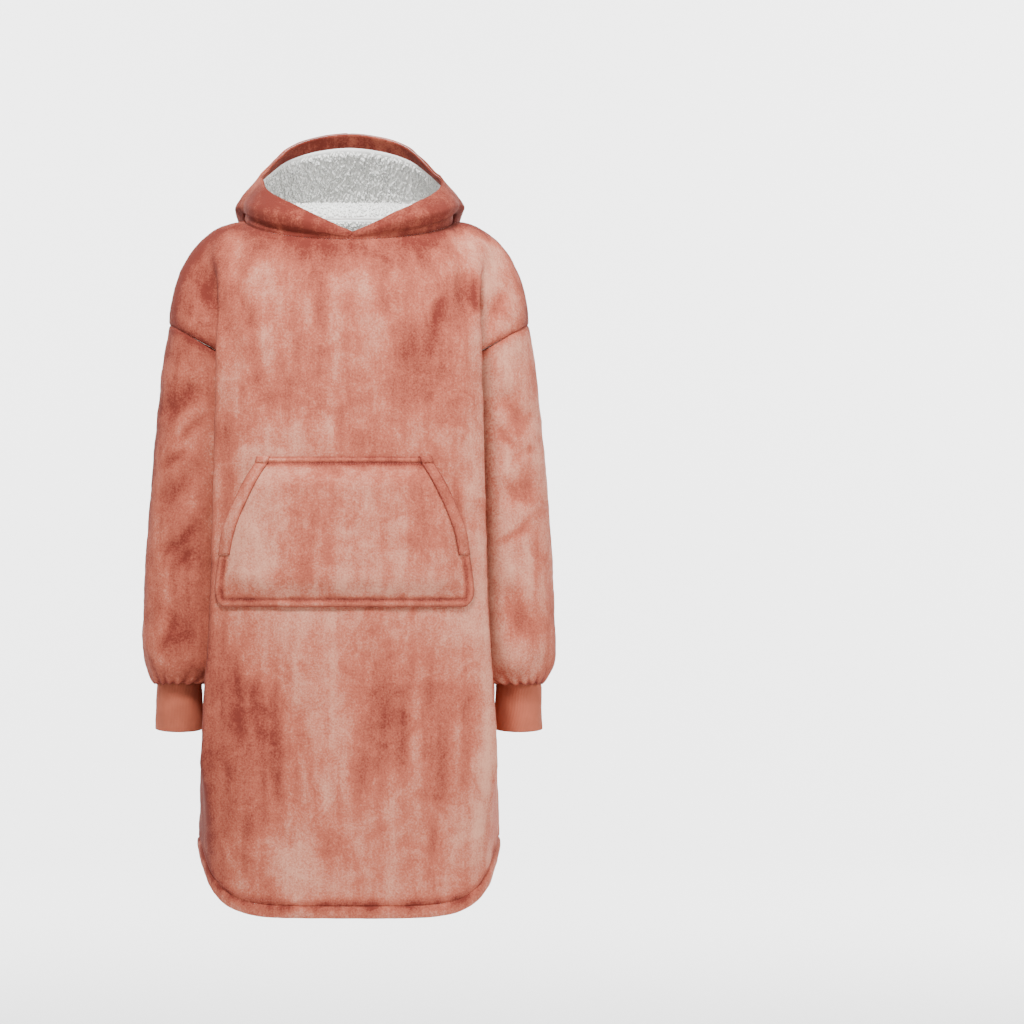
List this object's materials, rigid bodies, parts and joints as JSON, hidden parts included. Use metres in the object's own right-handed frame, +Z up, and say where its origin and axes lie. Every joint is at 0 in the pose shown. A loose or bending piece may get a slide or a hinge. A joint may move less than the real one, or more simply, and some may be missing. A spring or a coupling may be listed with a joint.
{
  "type": "hooded blanket top",
  "caption": "Oversized hooded pullover of deep pile fleece, filled out with no wearer, with a front pouch pocket, plain cuffs and a curved hem.",
  "frame": {"origin": "midway between the shoulders, level with the neck seam at the wearer's sides, where the garment rests on its wearer or stand", "axes": "+Z up, -Y the garment's front, +X the wearer's left"},
  "size_m": [0.5486, 0.359, 1.039],
  "materials": {
    "pile_fleece": "soft pile",
    "sherpa": "curly pile",
    "rib_knit": "matte"
  },
  "bodies": {
    "root": {"front": "pile_fleece", "back": "pile_fleece", "hem_binding_front": "pile_fleece", "hem_binding_back": "pile_fleece", "sleeve_left": "pile_fleece", "sleeve_right": "pile_fleece", "cuff_left": "rib_knit", "cuff_right": "rib_knit", "hood_left": "pile_fleece", "hood_right": "pile_fleece", "hood_lining": "sherpa", "hood_facing": "pile_fleece", "pocket": "pile_fleece", "pocket_band_left": "pile_fleece", "pocket_band_right": "pile_fleece"}
  },
  "joints": []
}
